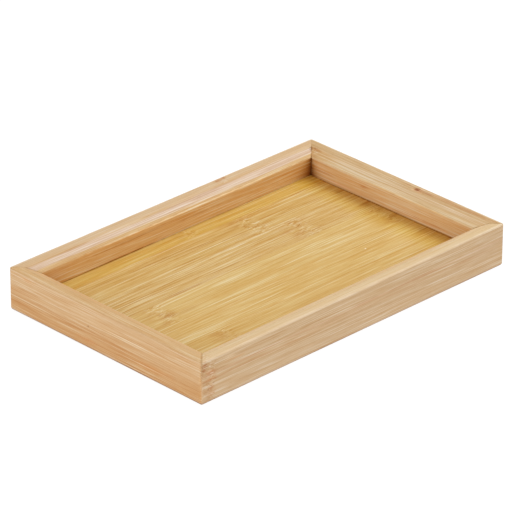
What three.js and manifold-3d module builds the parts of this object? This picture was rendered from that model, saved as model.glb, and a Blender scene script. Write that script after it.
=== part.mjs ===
import * as THREE from 'three';
import { mergeVertices } from 'three/addons/utils/BufferGeometryUtils.js';
import Module from 'manifold-3d';

// A shallow bamboo tray: four mitred rails, grooved to house a panel of edge-glued strips.
// All sizes are in millimetres. The tray stands on the XY plane with its middle over the origin,
// its long side along X and its front long rail towards -Y.

// Overall size.
const TRAY_LENGTH = 230;
const TRAY_WIDTH = 150;
const RAIL_HEIGHT = 25.8;

// Rails: an outer and an inner bamboo lamella, glued face to face.
const OUTER_LAMELLA = 6.1;
const INNER_LAMELLA = 6.1;
const GLUE_LINE = 0.1;

// Moulded top edge: a flat outside, then a slope that falls towards the well and swells a little half-way.
const TOP_FLAT = 5.3;
const SLOPE_DROP = 3.6;
const SLOPE_SWELL = 0.25;
const SLOPE_SWELL_RADIUS = 14;
const SLOPE_BLEND_RADIUS = 5;
const LIP_RADIUS = 0.8;

// Eased edges.
const TOP_EDGE_RADIUS = 0.9;
const FOOT_OUTER_RADIUS = 2;
const FOOT_INNER_RADIUS = 0.8;
const CORNER_RADIUS = 1.6;

// Panel: strips laid along X, the back one trimmed, housed in a groove all round.
const PANEL_LIFT = 5.9;
const PANEL_THICKNESS = 5;
const STRIP_PITCH = 22;
const BACK_STRIP_WIDTH = 13.8;
const NARROWEST_STRIP = 4;
const GROOVE_DEPTH = 4;
const GROOVE_CLEARANCE = 0.1;
const EXPANSION_GAP = 0.3;

// Corner joints: a loose spline with round ends, half in each mitred end and stopped short of both edges.
const MITRE_GAP = 0.1;
const SPLINE_THICKNESS = 2.5;
const SPLINE_WIDTH = 8;
const SPLINE_HEIGHT = 14;
const SPLINE_CLEARANCE = 0.2;

// Facets in each rounded corner, and the distance under which two vertices are one.
const ARC_SEGMENTS = 3;
const WELD_DISTANCE = 1e-4;

// Sizes that follow from those above.
const RAIL_THICKNESS = OUTER_LAMELLA + GLUE_LINE + INNER_LAMELLA;
const PANEL_INSET = RAIL_THICKNESS - GROOVE_DEPTH + EXPANSION_GAP;
const PANEL_LENGTH = TRAY_LENGTH - 2 * PANEL_INSET;
const PANEL_WIDTH = TRAY_WIDTH - 2 * PANEL_INSET;
const MITRE_SETBACK = MITRE_GAP * Math.SQRT1_2;
const SPLINE_INSET = RAIL_THICKNESS / 2;
const SPLINE_CENTRE_HEIGHT = RAIL_HEIGHT / 2;
const EIGHTH_TURN = Math.PI / 4;
const QUARTER_TURN = Math.PI / 2;

// Tones of the lacquered bamboo.
const OUTER_TONE = '#d8b58c';
const INNER_TONE = '#dcbb92';
const PANEL_TONE = '#d6b173';
const SPLINE_TONE = '#c9a877';
const LACQUER_ROUGHNESS = 0.4;
const SAWN_ROUGHNESS = 0.8;

const wasm = await Module();
wasm.setup();

// Turns a closed geometry into a solid that can be cut.
function solidFrom(geometry) {
  const bare = geometry.clone();
  bare.deleteAttribute('normal');
  bare.deleteAttribute('uv');
  const welded = mergeVertices(bare, WELD_DISTANCE);
  const mesh = new wasm.Mesh({
    numProp: 3,
    vertProperties: new Float32Array(welded.getAttribute('position').array),
    triVerts: new Uint32Array(welded.getIndex().array),
  });
  return new wasm.Manifold(mesh);
}

// Turns a solid back into a geometry.
function geometryFrom(solid) {
  const mesh = solid.getMesh();
  const geometry = new THREE.BufferGeometry();
  geometry.setAttribute('position', new THREE.BufferAttribute(new Float32Array(mesh.vertProperties), 3));
  geometry.setIndex(new THREE.BufferAttribute(new Uint32Array(mesh.triVerts), 1));
  geometry.computeVertexNormals();
  return geometry;
}

// A closed outline through corners [x, y, radius], each corner rounded by a tangent arc.
function roundedOutline(corners) {
  const outline = new THREE.Shape();
  const points = corners.map(([x, y]) => new THREE.Vector2(x, y));
  points.forEach((corner, i) => {
    const radius = corners[i][2] ?? 0;
    if (radius === 0) {
      outline.lineTo(corner.x, corner.y);
      return;
    }
    const before = points.at(i - 1).clone().sub(corner).normalize();
    const after = points[(i + 1) % points.length].clone().sub(corner).normalize();
    const halfAngle = Math.acos(before.dot(after)) / 2;
    const reach = radius / Math.tan(halfAngle);
    const towardsCentre = before.clone().add(after).setLength(radius / Math.sin(halfAngle));
    const centre = corner.clone().add(towardsCentre);
    const start = before.multiplyScalar(reach).add(corner).sub(centre);
    const end = after.multiplyScalar(reach).add(corner).sub(centre);
    const clockwise = start.cross(end) < 0;
    outline.absarc(centre.x, centre.y, radius, start.angle(), end.angle(), clockwise);
  });
  outline.closePath();
  return outline;
}

function extruded(outline, depth) {
  return new THREE.ExtrudeGeometry(outline, { depth, bevelEnabled: false, curveSegments: ARC_SEGMENTS });
}

// Section of a rail: x runs inwards from the outer face, y runs up from the table.
function railSection() {
  const grooveFloor = RAIL_THICKNESS - GROOVE_DEPTH;
  const grooveBottom = PANEL_LIFT - GROOVE_CLEARANCE;
  const grooveTop = PANEL_LIFT + PANEL_THICKNESS + GROOVE_CLEARANCE;
  return roundedOutline([
    [0, 0, FOOT_OUTER_RADIUS],
    [RAIL_THICKNESS, 0, FOOT_INNER_RADIUS],
    [RAIL_THICKNESS, grooveBottom],
    [grooveFloor, grooveBottom],
    [grooveFloor, grooveTop],
    [RAIL_THICKNESS, grooveTop],
    [RAIL_THICKNESS, RAIL_HEIGHT - SLOPE_DROP, LIP_RADIUS],
    [(TOP_FLAT + RAIL_THICKNESS) / 2, RAIL_HEIGHT - SLOPE_DROP / 2 + SLOPE_SWELL, SLOPE_SWELL_RADIUS],
    [TOP_FLAT, RAIL_HEIGHT, SLOPE_BLEND_RADIUS],
    [0, RAIL_HEIGHT, TOP_EDGE_RADIUS],
  ]);
}

// A rail's bar in its own frame: x along the rail, y inwards from its outer face, z up.
// Both ends are sheared to the mitre and set back by half the mitre's gap.
function mitredBar(length) {
  const bar = extruded(railSection(), length);
  bar.translate(0, 0, -length / 2);
  const inwards = new THREE.Vector3(0, 1, 0);
  const up = new THREE.Vector3(0, 0, 1);
  const along = new THREE.Vector3(1, 0, 0);
  bar.applyMatrix4(new THREE.Matrix4().makeBasis(inwards, up, along));
  const position = bar.getAttribute('position');
  for (let i = 0; i < position.count; i += 1) {
    const end = length / 2 - position.getY(i) - MITRE_SETBACK;
    position.setX(i, Math.sign(position.getX(i)) * end);
  }
  return bar;
}

// The tray's outer shape in plan, with eased vertical corners, seen from one rail.
function trayEnvelope(length, across) {
  const half = length / 2;
  const plan = roundedOutline([
    [-half, 0, CORNER_RADIUS],
    [half, 0, CORNER_RADIUS],
    [half, across, CORNER_RADIUS],
    [-half, across, CORNER_RADIUS],
  ]);
  return extruded(plan, RAIL_HEIGHT);
}

// A spline, or with a clearance the slot that takes it: x is its thickness, y its width, z its height.
function splineBar(clearance) {
  const thickness = SPLINE_THICKNESS + 2 * clearance;
  const height = SPLINE_HEIGHT + 2 * clearance;
  const width = SPLINE_WIDTH + 2 * clearance;
  const radius = thickness / 2;
  const straight = height / 2 - radius;
  const outline = new THREE.Shape();
  outline.absarc(0, straight, radius, 0, Math.PI, false);
  outline.absarc(0, -straight, radius, Math.PI, 2 * Math.PI, false);
  outline.closePath();
  const bar = extruded(outline, width);
  bar.translate(0, 0, -width / 2);
  bar.rotateX(QUARTER_TURN);
  return bar;
}

// The slot at one end of a rail, in the rail's frame.
function splineSlot(length, end) {
  const slot = splineBar(SPLINE_CLEARANCE);
  slot.rotateZ(-end * EIGHTH_TURN);
  slot.translate(end * (length / 2 - SPLINE_INSET), SPLINE_INSET, SPLINE_CENTRE_HEIGHT);
  return solidFrom(slot);
}

// A block that holds the part of a rail between two depths from its outer face.
function lamellaBlock(length, from, to) {
  const block = new THREE.BoxGeometry(length, to - from, RAIL_HEIGHT);
  block.translate(0, (from + to) / 2, RAIL_HEIGHT / 2);
  return solidFrom(block);
}

function bambooMesh(name, geometry, tone, roughness) {
  const material = new THREE.MeshStandardMaterial({ color: tone, roughness, metalness: 0 });
  const mesh = new THREE.Mesh(geometry, material);
  mesh.name = name;
  return mesh;
}

// One rail: moulded, grooved, mitred and slotted as a whole, then parted at its glue line.
function makeRail(side, length, across, turn) {
  const rail = solidFrom(mitredBar(length))
    .intersect(solidFrom(trayEnvelope(length, across)))
    .subtract(splineSlot(length, -1))
    .subtract(splineSlot(length, 1));
  const outer = rail.intersect(lamellaBlock(length, 0, OUTER_LAMELLA));
  const inner = rail.intersect(lamellaBlock(length, OUTER_LAMELLA + GLUE_LINE, RAIL_THICKNESS));
  const group = new THREE.Group();
  group.rotation.z = turn;
  const lamellae = [
    bambooMesh(`${side}_rail_outer`, geometryFrom(outer), OUTER_TONE, LACQUER_ROUGHNESS),
    bambooMesh(`${side}_rail_inner`, geometryFrom(inner), INNER_TONE, LACQUER_ROUGHNESS),
  ];
  lamellae.forEach((lamella) => {
    lamella.position.y = -across / 2;
    group.add(lamella);
  });
  return group;
}

// Widths of the strips from back to front. The front strip takes what is left of the panel's width,
// and a sliver too narrow to glue is left on its neighbour.
function stripWidths() {
  const widths = [Math.min(BACK_STRIP_WIDTH, PANEL_WIDTH)];
  let left = PANEL_WIDTH - widths[0];
  while (left > STRIP_PITCH + NARROWEST_STRIP) {
    widths.push(STRIP_PITCH);
    left -= STRIP_PITCH;
  }
  widths.push(left);
  return widths;
}

// The panel's strips, each set back from the next by a glue line.
function makePanel() {
  const panel = new THREE.Group();
  const widths = stripWidths();
  let backEdge = PANEL_WIDTH / 2;
  widths.forEach((width, i) => {
    const glue = i < widths.length - 1 ? GLUE_LINE : 0;
    const geometry = new THREE.BoxGeometry(PANEL_LENGTH, width - glue, PANEL_THICKNESS);
    const strip = bambooMesh(`panel_strip_${i + 1}`, geometry, PANEL_TONE, LACQUER_ROUGHNESS);
    strip.position.set(0, backEdge - (width - glue) / 2, PANEL_LIFT + PANEL_THICKNESS / 2);
    panel.add(strip);
    backEdge -= width;
  });
  return panel;
}

// The four splines, one across each mitre.
function makeSplines() {
  const splines = new THREE.Group();
  for (const [end, yEnd] of [['front', -1], ['back', 1]]) {
    for (const [side, xEnd] of [['left', -1], ['right', 1]]) {
      const spline = bambooMesh(`mitre_spline_${end}_${side}`, splineBar(0), SPLINE_TONE, SAWN_ROUGHNESS);
      spline.rotation.z = xEnd * yEnd * EIGHTH_TURN;
      spline.position.set(
        xEnd * (TRAY_LENGTH / 2 - SPLINE_INSET),
        yEnd * (TRAY_WIDTH / 2 - SPLINE_INSET),
        SPLINE_CENTRE_HEIGHT,
      );
      splines.add(spline);
    }
  }
  return splines;
}

const tray = new THREE.Group();
tray.add(
  makeRail('front', TRAY_LENGTH, TRAY_WIDTH, 0),
  makeRail('right', TRAY_WIDTH, TRAY_LENGTH, QUARTER_TURN),
  makeRail('back', TRAY_LENGTH, TRAY_WIDTH, 2 * QUARTER_TURN),
  makeRail('left', TRAY_WIDTH, TRAY_LENGTH, -QUARTER_TURN),
  makePanel(),
  makeSplines(),
);

export default tray;
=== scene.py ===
import math
from collections import namedtuple

import bmesh
import bpy
from mathutils import Matrix, Vector, noise


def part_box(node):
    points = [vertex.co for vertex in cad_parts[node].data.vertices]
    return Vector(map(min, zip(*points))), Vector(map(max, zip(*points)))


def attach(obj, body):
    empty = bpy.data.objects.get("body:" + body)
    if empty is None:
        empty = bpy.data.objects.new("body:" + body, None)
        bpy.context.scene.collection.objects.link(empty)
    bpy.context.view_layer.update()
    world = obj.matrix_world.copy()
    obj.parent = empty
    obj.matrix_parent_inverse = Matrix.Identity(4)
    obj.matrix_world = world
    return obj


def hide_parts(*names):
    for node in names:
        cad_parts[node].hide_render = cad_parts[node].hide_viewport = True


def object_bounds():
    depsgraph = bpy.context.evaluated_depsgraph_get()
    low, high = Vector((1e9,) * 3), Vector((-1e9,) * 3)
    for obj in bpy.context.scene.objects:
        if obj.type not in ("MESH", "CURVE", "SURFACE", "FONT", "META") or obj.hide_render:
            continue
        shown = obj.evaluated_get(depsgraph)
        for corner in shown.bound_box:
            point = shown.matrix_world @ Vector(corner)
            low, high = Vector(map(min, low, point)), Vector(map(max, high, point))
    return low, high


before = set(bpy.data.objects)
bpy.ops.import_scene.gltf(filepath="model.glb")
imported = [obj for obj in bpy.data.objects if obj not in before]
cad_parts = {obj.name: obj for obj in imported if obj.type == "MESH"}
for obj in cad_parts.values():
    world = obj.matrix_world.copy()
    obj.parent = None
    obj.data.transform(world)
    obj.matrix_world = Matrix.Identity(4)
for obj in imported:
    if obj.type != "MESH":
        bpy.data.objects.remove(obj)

# The looks of a small bamboo tray: four mitred rails of two lamellae each, a panel of edge-glued strips
# in their groove, and a loose spline inside each mitre. Sizes are in millimetres until a mesh is made.
MM = 0.001
cad_low, cad_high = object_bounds()


def node_box(node):
    """Lowest and highest corner of a CAD node, in millimetres."""
    low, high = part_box(node)
    return low / MM, high / MM


# Sizes read from the frame.
TRAY_LENGTH = (cad_high.x - cad_low.x) / MM
TRAY_WIDTH = (cad_high.y - cad_low.y) / MM
RAIL_HEIGHT = (cad_high.z - cad_low.z) / MM
face_low, face_high = node_box("front_rail_outer")
core_low, core_high = node_box("front_rail_inner")
panel_low, panel_high = node_box("panel_strip_1")
FACE_LAMELLA = face_high.y - face_low.y
CORE_START = core_low.y - face_low.y
RAIL_THICKNESS = core_high.y - face_low.y
PANEL_BOTTOM = panel_low.z
PANEL_TOP = panel_high.z

# Rail section: depths run inwards from the outer face, heights run up from the table.
TOP_FLAT = 5.3
SLOPE_DROP = 3.6
SLOPE_SWELL = 0.25
SLOPE_SWELL_RADIUS = 14.0
SLOPE_BLEND_RADIUS = 5.0
LIP_RADIUS = 0.8
TOP_EDGE_RADIUS = 0.9
FOOT_OUTER_RADIUS = 2.0
FOOT_INNER_RADIUS = 0.8
CORNER_RADIUS = 1.6
GROOVE_DEPTH = 4.0
GROOVE_CLEARANCE = 0.1
MITRE_SETBACK = 0.005
GLUE_SEAM = 0.015

# Splines, and the slots that take them.
SPLINE_THICKNESS = 2.5
SPLINE_WIDTH = 8.0
SPLINE_HEIGHT = 14.0
SPLINE_CLEARANCE = 0.2
SPLINE_EASE = 0.25

# How finely the meshes are divided, how far their sharp edges are eased, and which corners count as sharp.
ARC_STEPS = 8
SECTION_SPACING = 1.6
STATION_SPACING = 2.0
END_REACH = 3.0
END_STEPS = 9
GLUE_EDGE_EASE = 0.025
MITRE_EDGE_EASE = 0.04
STRIP_EDGE_EASE = 0.04
SHARP_CORNER = math.radians(140)
CREASE_ANGLE = math.radians(28)

# Hand sanding takes up to this much off, in waves so long along a piece and so wide across it. Each piece
# takes its waves from another part of the noise.
SANDING_WAVER = 0.03
RAIL_WAVE = (23, 5)
RAIL_WAVE_STEP = 9
STRIP_WAVE = (31, 7)
STRIP_WAVE_STEP = 5.1
# A strip is sanded by a share of that, and dips by another at each of its nodes, over this reach along it.
STRIP_SANDING = 0.6
NODE_DIP = 0.5
NODE_DIP_REACH = 5

# Handling wears a rounded edge pale, with a painted highlight over the wear, most at its middle: how far
# that lies in and down from the sharp corner, as shares of the radius, and how both fall off from there.
TOP_EDGE_MIDDLE = (0.3, 0.3)
LIP_EDGE_MIDDLE = (0.3, 0.1)
EDGE_FULL = 1.35
EDGE_FADE = 1.1
# Edge wear and painted highlight lie on the upright corners too, outermost in the section and so far along a
# rail.
UPRIGHT_EDGE_DEPTH = 1.5
UPRIGHT_EDGE_FADE = 1.4

# Points of the section this near the glue face, the groove's lip or the rail's top count as on it.
GLUE_FACE_REACH = 0.1
GROOVE_LIP_REACH = 0.2
TOP_REACH = 1.0

# Seams at the mitres: how wide they read along a rail, and the spots on its section where they can show, each
# a depth in from the outer face and a spread about it.
SEAM_REACH = 0.6
NOTCH_SHADE_REACH = 1.3
SEAM_SPOTS = {
    "flat": (TOP_FLAT / 2, TOP_FLAT / 2),
    "notch_shade": (TOP_FLAT + 2.2, 0.7),
    "slope": (TOP_FLAT + 2.6, 1.2),
    "lip": (RAIL_THICKNESS - 1.4, 1.2),
    "edge": (RAIL_THICKNESS, 0.6),
}
# How dark each corner's seam is there, from 0 to 1, and what it is at least from a depth inwards.
SEAM_DARKNESS = {
    "far": {"slope": 0.5, "edge": 0.5},
    "right": {"flat": 0.25, "lip": 0.55},
    "left": {"flat": 0.12},
    "near": {"flat": 0.2},
}
SEAM_LEAST = {
    "far": (0.1, TOP_FLAT + 1),
    "right": (0.15, -1),
    "left": (0.2, TOP_FLAT + 0.7),
    "near": (0.0, 0),
}
# A painted dark notch at the head of the far mitre's slope: the shade of a small chip that the mesh doesn't
# cut.
FAR_NOTCH_SHADE = 0.45
# The near corner's upright seam fades in up the faces, between two heights.
NEAR_UPRIGHT = 0.16
NEAR_UPRIGHT_START = 13
NEAR_UPRIGHT_END = 19

# Painted shade in the well's upright corners: its reach along a wall at the lip, what that gains down to
# the panel, how dark it is at the lip, and how much of the joint line and the shade shows where faint.
WALL_MARGIN = 0.4
BACK_WALL_CORNER_SHADE = (2.2, 4.2)
SIDE_WALL_CORNER_SHADE = (0.4, 3.8)
CORNER_SHADE_AT_LIP = 0.7
FAINT_LINE = 0.5
FAINT_CORNER_SHADE = 0.25

# The groove's upper lip: its least gap over the panel, and what an uneven gap adds towards the left end.
LEAST_GAP = 0.02
UNEVEN_GAP = 0.1
GAP_WAVE = 15
GAP_START = 20
GAP_RUN = 50

# Places on the tray that marks are put at.
FRONT_FACE = -TRAY_WIDTH / 2
LEFT_FACE = -TRAY_LENGTH / 2
RIGHT_WALL = TRAY_LENGTH / 2 - RAIL_THICKNESS
BACK_WALL = TRAY_WIDTH / 2 - RAIL_THICKNESS
LIP_HEIGHT = RAIL_HEIGHT - SLOPE_DROP

# The photograph's camera, solved from the tray's corners.
CAMERA_AZIMUTH = math.radians(-44.4116)
CAMERA_ELEVATION = math.radians(27.2149)
CAMERA_ROLL = math.radians(0.1778)
CAMERA_DISTANCE = 2.34969
CAMERA_SIDE_SHIFT = -0.0016583
CAMERA_RISE = 0.0169378
FOCAL_PIXELS = 4303.39
FRAME_PIXELS = 512
SENSOR_WIDTH = 36.0

# Each rail: its length, the tray's size across it, and its turn about the upright axis.
Side = namedtuple("Side", "length across turn")
SIDES = {
    "front": Side(TRAY_LENGTH, TRAY_WIDTH, 0.0),
    "right": Side(TRAY_WIDTH, TRAY_LENGTH, math.pi / 2),
    "back": Side(TRAY_LENGTH, TRAY_WIDTH, math.pi),
    "left": Side(TRAY_WIDTH, TRAY_LENGTH, -math.pi / 2),
}

# The tray's corner at each end of each rail, as the photograph places it.
CORNERS = {
    ("back", -1): "far", ("right", 1): "far",
    ("back", 1): "left", ("left", -1): "left",
    ("left", 1): "near", ("front", -1): "near",
    ("front", 1): "right", ("right", -1): "right",
}


def tone(red, green, blue):
    """A colour given as 0 to 255, as the linear colour that shaders take."""
    def linear(channel):
        share = channel / 255
        return share / 12.92 if share <= 0.04045 else ((share + 0.055) / 1.055) ** 2.4
    return (linear(red), linear(green), linear(blue), 1.0)


def half_noise(x, y, z):
    """Smooth noise around one half."""
    return noise.noise(Vector((x, y, z))) * 0.5 + 0.5


def bump_at(value, centre, width):
    """1 where a value is at a centre, falling off to both sides over a width."""
    return math.exp(-((value - centre) / width) ** 2)


# Outlines

def rounded_outline(corners):
    """Points of a closed outline through corners (depth, height, radius), each rounded by a tangent arc."""
    points = []
    for index, (depth, height, radius) in enumerate(corners):
        corner = Vector((depth, height))
        if radius == 0:
            points.append(corner)
            continue
        before = (Vector(corners[index - 1][:2]) - corner).normalized()
        after = (Vector(corners[(index + 1) % len(corners)][:2]) - corner).normalized()
        half_angle = before.angle(after) / 2
        centre = corner + (before + after).normalized() * radius / math.sin(half_angle)
        start = corner + before * radius / math.tan(half_angle) - centre
        end = corner + after * radius / math.tan(half_angle) - centre
        sweep = math.atan2(start.x * end.y - start.y * end.x, start.dot(end))
        for step in range(ARC_STEPS + 1):
            points.append(centre + Matrix.Rotation(sweep * step / ARC_STEPS, 2) @ start)
    return points


def clipped_outline(points, limit, side):
    """The part of an outline on one side of a depth: below it for side 1, above it for side -1."""
    kept = []
    for here, after in zip(points, points[1:] + points[:1]):
        here_inside = side * (limit - here.x) >= 0
        after_inside = side * (limit - after.x) >= 0
        if here_inside:
            kept.append(here)
        if here_inside != after_inside:
            kept.append(here.lerp(after, (limit - here.x) / (after.x - here.x)))
    return kept


def eased_outline(points, ease):
    """The outline with every sharp corner cut back by a small chamfer."""
    eased = []
    for index, here in enumerate(points):
        before = points[index - 1] - here
        after = points[(index + 1) % len(points)] - here
        if before.angle(after) > SHARP_CORNER:
            eased.append(here)
            continue
        eased.append(here + before.normalized() * min(ease, before.length / 2))
        eased.append(here + after.normalized() * min(ease, after.length / 2))
    return eased


def divided_outline(points, spacing):
    """The outline with its long straight stretches divided."""
    divided = []
    for here, after in zip(points, points[1:] + points[:1]):
        count = max(1, math.ceil((after - here).length / spacing))
        divided.extend(here.lerp(after, step / count) for step in range(count))
    return divided


def outline_normals(points):
    """Outward directions of a counter-clockwise outline."""
    normals = []
    for index in range(len(points)):
        run = points[(index + 1) % len(points)] - points[index - 1]
        normals.append(Vector((run.y, -run.x)).normalized())
    return normals


# Meshes

def swept_piece(name, rows, layers=None):
    """A closed piece from rings of points, in millimetres. layers gives each point named values."""
    mesh = bpy.data.meshes.new(name)
    shell = bmesh.new()
    stores = [(shell.verts.layers.float.new(label), values) for label, values in (layers or {}).items()]
    rings = []
    for row_index, row in enumerate(rows):
        ring = []
        for index, point in enumerate(row):
            vertex = shell.verts.new(point * MM)
            for store, values in stores:
                vertex[store] = values[row_index][index]
            ring.append(vertex)
        rings.append(ring)
    count = len(rings[0])
    for ring, following in zip(rings, rings[1:]):
        for i in range(count):
            j = (i + 1) % count
            shell.faces.new((ring[i], ring[j], following[j], following[i]))
    caps = [shell.faces.new(reversed(rings[0])), shell.faces.new(rings[-1])]
    bmesh.ops.triangulate(shell, faces=caps, ngon_method="EAR_CLIP")
    shell.to_mesh(mesh)
    shell.free()
    piece = bpy.data.objects.new(name, mesh)
    bpy.context.scene.collection.objects.link(piece)
    return piece


def smooth_shading(piece):
    """Rounds the shading over arcs and keeps real edges crisp."""
    mesh = piece.data
    mesh.polygons.foreach_set("use_smooth", [True] * len(mesh.polygons))
    mesh.set_sharp_from_angle(angle=CREASE_ANGLE)


def cut_from(piece, cutter):
    """Takes one solid out of another, for good."""
    cut = piece.modifiers.new("slot", "BOOLEAN")
    cut.operation = "DIFFERENCE"
    cut.solver = "MANIFOLD"
    cut.object = cutter
    graph = bpy.context.evaluated_depsgraph_get()
    result = bpy.data.meshes.new_from_object(piece.evaluated_get(graph))
    piece.modifiers.clear()
    old = piece.data
    piece.data = result
    bpy.data.meshes.remove(old)
    result.name = piece.name


def finish_piece(piece, node, material):
    """Makes a piece stand for its CAD node, on the tray's one body, in its own finish."""
    smooth_shading(piece)
    piece.data.materials.clear()
    piece.data.materials.append(material)
    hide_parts(node)
    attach(piece, "root")


# Rails

def rail_outline():
    """The whole rail's moulded section."""
    groove_floor = RAIL_THICKNESS - GROOVE_DEPTH
    groove_bottom = PANEL_BOTTOM - GROOVE_CLEARANCE
    groove_top = PANEL_TOP + GROOVE_CLEARANCE
    return rounded_outline([
        (0, 0, FOOT_OUTER_RADIUS),
        (RAIL_THICKNESS, 0, FOOT_INNER_RADIUS),
        (RAIL_THICKNESS, groove_bottom, 0),
        (groove_floor, groove_bottom, 0),
        (groove_floor, groove_top, 0),
        (RAIL_THICKNESS, groove_top, 0),
        (RAIL_THICKNESS, LIP_HEIGHT, LIP_RADIUS),
        ((TOP_FLAT + RAIL_THICKNESS) / 2, RAIL_HEIGHT - SLOPE_DROP / 2 + SLOPE_SWELL, SLOPE_SWELL_RADIUS),
        (TOP_FLAT, RAIL_HEIGHT, SLOPE_BLEND_RADIUS),
        (0, RAIL_HEIGHT, TOP_EDGE_RADIUS),
    ])


def lamella_outline(is_face):
    """Section of the face (outer) or core (inner) lamella of a rail."""
    glue_line = (FACE_LAMELLA + CORE_START) / 2
    side = 1 if is_face else -1
    part = clipped_outline(rail_outline(), glue_line - side * GLUE_SEAM / 2, side)
    return divided_outline(eased_outline(part, GLUE_EDGE_EASE), SECTION_SPACING)


def edge_closeness(depth, height):
    """1 on a rail's rounded long edges, fading to 0 within a millimetre or so."""
    top_in, top_down = Vector(TOP_EDGE_MIDDLE) * TOP_EDGE_RADIUS
    lip_in, lip_down = Vector(LIP_EDGE_MIDDLE) * LIP_RADIUS
    middles = (
        Vector((top_in, RAIL_HEIGHT - top_down)),
        Vector((RAIL_THICKNESS - lip_in, LIP_HEIGHT - lip_down)),
    )
    nearest = min((Vector((depth, height)) - middle).length for middle in middles)
    return max(0.0, min(1.0, EDGE_FULL - nearest / EDGE_FADE))


def mitre_place(depth):
    """How far from the tray's corner a mitre lies at this depth, measured along the rail."""
    return depth + max(0.0, CORNER_RADIUS - depth) * (1 - math.sqrt(0.5))


def curved_depth(depth, from_corner):
    """A depth in from the outer face, so far from the tray's corner, once the corner is rounded in plan."""
    if max(depth, from_corner) >= CORNER_RADIUS:
        return depth
    return CORNER_RADIUS - math.sqrt((CORNER_RADIUS - depth) ** 2 - (CORNER_RADIUS - from_corner) ** 2)


def wall_shade(side, corner, height, distance):
    """Joint line and painted shade in an upright corner of the well: deepest low down, widest on the back
    wall.
    """
    lowness = min(1.0, 1 - (height - PANEL_TOP) / (LIP_HEIGHT - PANEL_TOP))
    reach_at_lip, reach_gained = BACK_WALL_CORNER_SHADE if side == "back" else SIDE_WALL_CORNER_SHADE
    reach = reach_at_lip + reach_gained * lowness
    corner_shade = (CORNER_SHADE_AT_LIP + (1 - CORNER_SHADE_AT_LIP) * lowness) * math.exp(-distance / reach)
    line = bump_at(distance, 0.0, SEAM_REACH)
    return max(line, corner_shade) if corner == "far" else max(FAINT_LINE * line, FAINT_CORNER_SHADE * corner_shade)


def seam_shade(side, end, depth, height, distance):
    """How dark a mitre's seam and the painted shade by it look, from 0 to 1, at a place on a rail's section.

    distance is how far the mitre is from that place, along the rail."""
    corner = CORNERS[side, end]
    if depth > RAIL_THICKNESS - WALL_MARGIN and height < LIP_HEIGHT - WALL_MARGIN:
        return wall_shade(side, corner, height, distance)
    least, least_from = SEAM_LEAST[corner]
    dark = least if depth > least_from else 0.0
    for spot, darkness in SEAM_DARKNESS[corner].items():
        if spot != "flat" or height > RAIL_HEIGHT - TOP_REACH:
            dark = max(dark, darkness * bump_at(depth, *SEAM_SPOTS[spot]))
    if corner == "near":
        up_the_face = (height - NEAR_UPRIGHT_START) / (NEAR_UPRIGHT_END - NEAR_UPRIGHT_START)
        dark = max(dark, NEAR_UPRIGHT * min(1.0, up_the_face))
    dark *= bump_at(distance, 0.0, SEAM_REACH)
    if corner == "far":
        notch_shade = bump_at(distance, 0.0, NOTCH_SHADE_REACH) * bump_at(depth, *SEAM_SPOTS["notch_shade"])
        dark = max(dark, FAR_NOTCH_SHADE * notch_shade)
    return dark


def groove_gap(side, along):
    """How far the groove's upper lip stands clear of the panel: most by the left end of the back wall."""
    uneven = half_noise(along / GAP_WAVE, SIDES[side].turn, 0)
    open_end = min(1.0, max(0.0, (along - GAP_START) / GAP_RUN)) if side == "back" else 0.0
    return LEAST_GAP + UNEVEN_GAP * uneven * open_end


def rail_stations(length):
    """Places along a rail, as an end, a distance in from its mitre and a share of the rail's middle.

    They are crowded at the mitres and even between them."""
    ends = [END_REACH * (step / END_STEPS) ** 2 for step in range(END_STEPS + 1)]
    middle = round((length - 2 * RAIL_THICKNESS) / STATION_SPACING)
    stations = [(-1, reach, 0.0) for reach in ends]
    stations += [(0, END_REACH, share / middle) for share in range(1, middle)]
    stations += [(1, reach, 1.0) for reach in reversed(ends)]
    return stations


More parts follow.
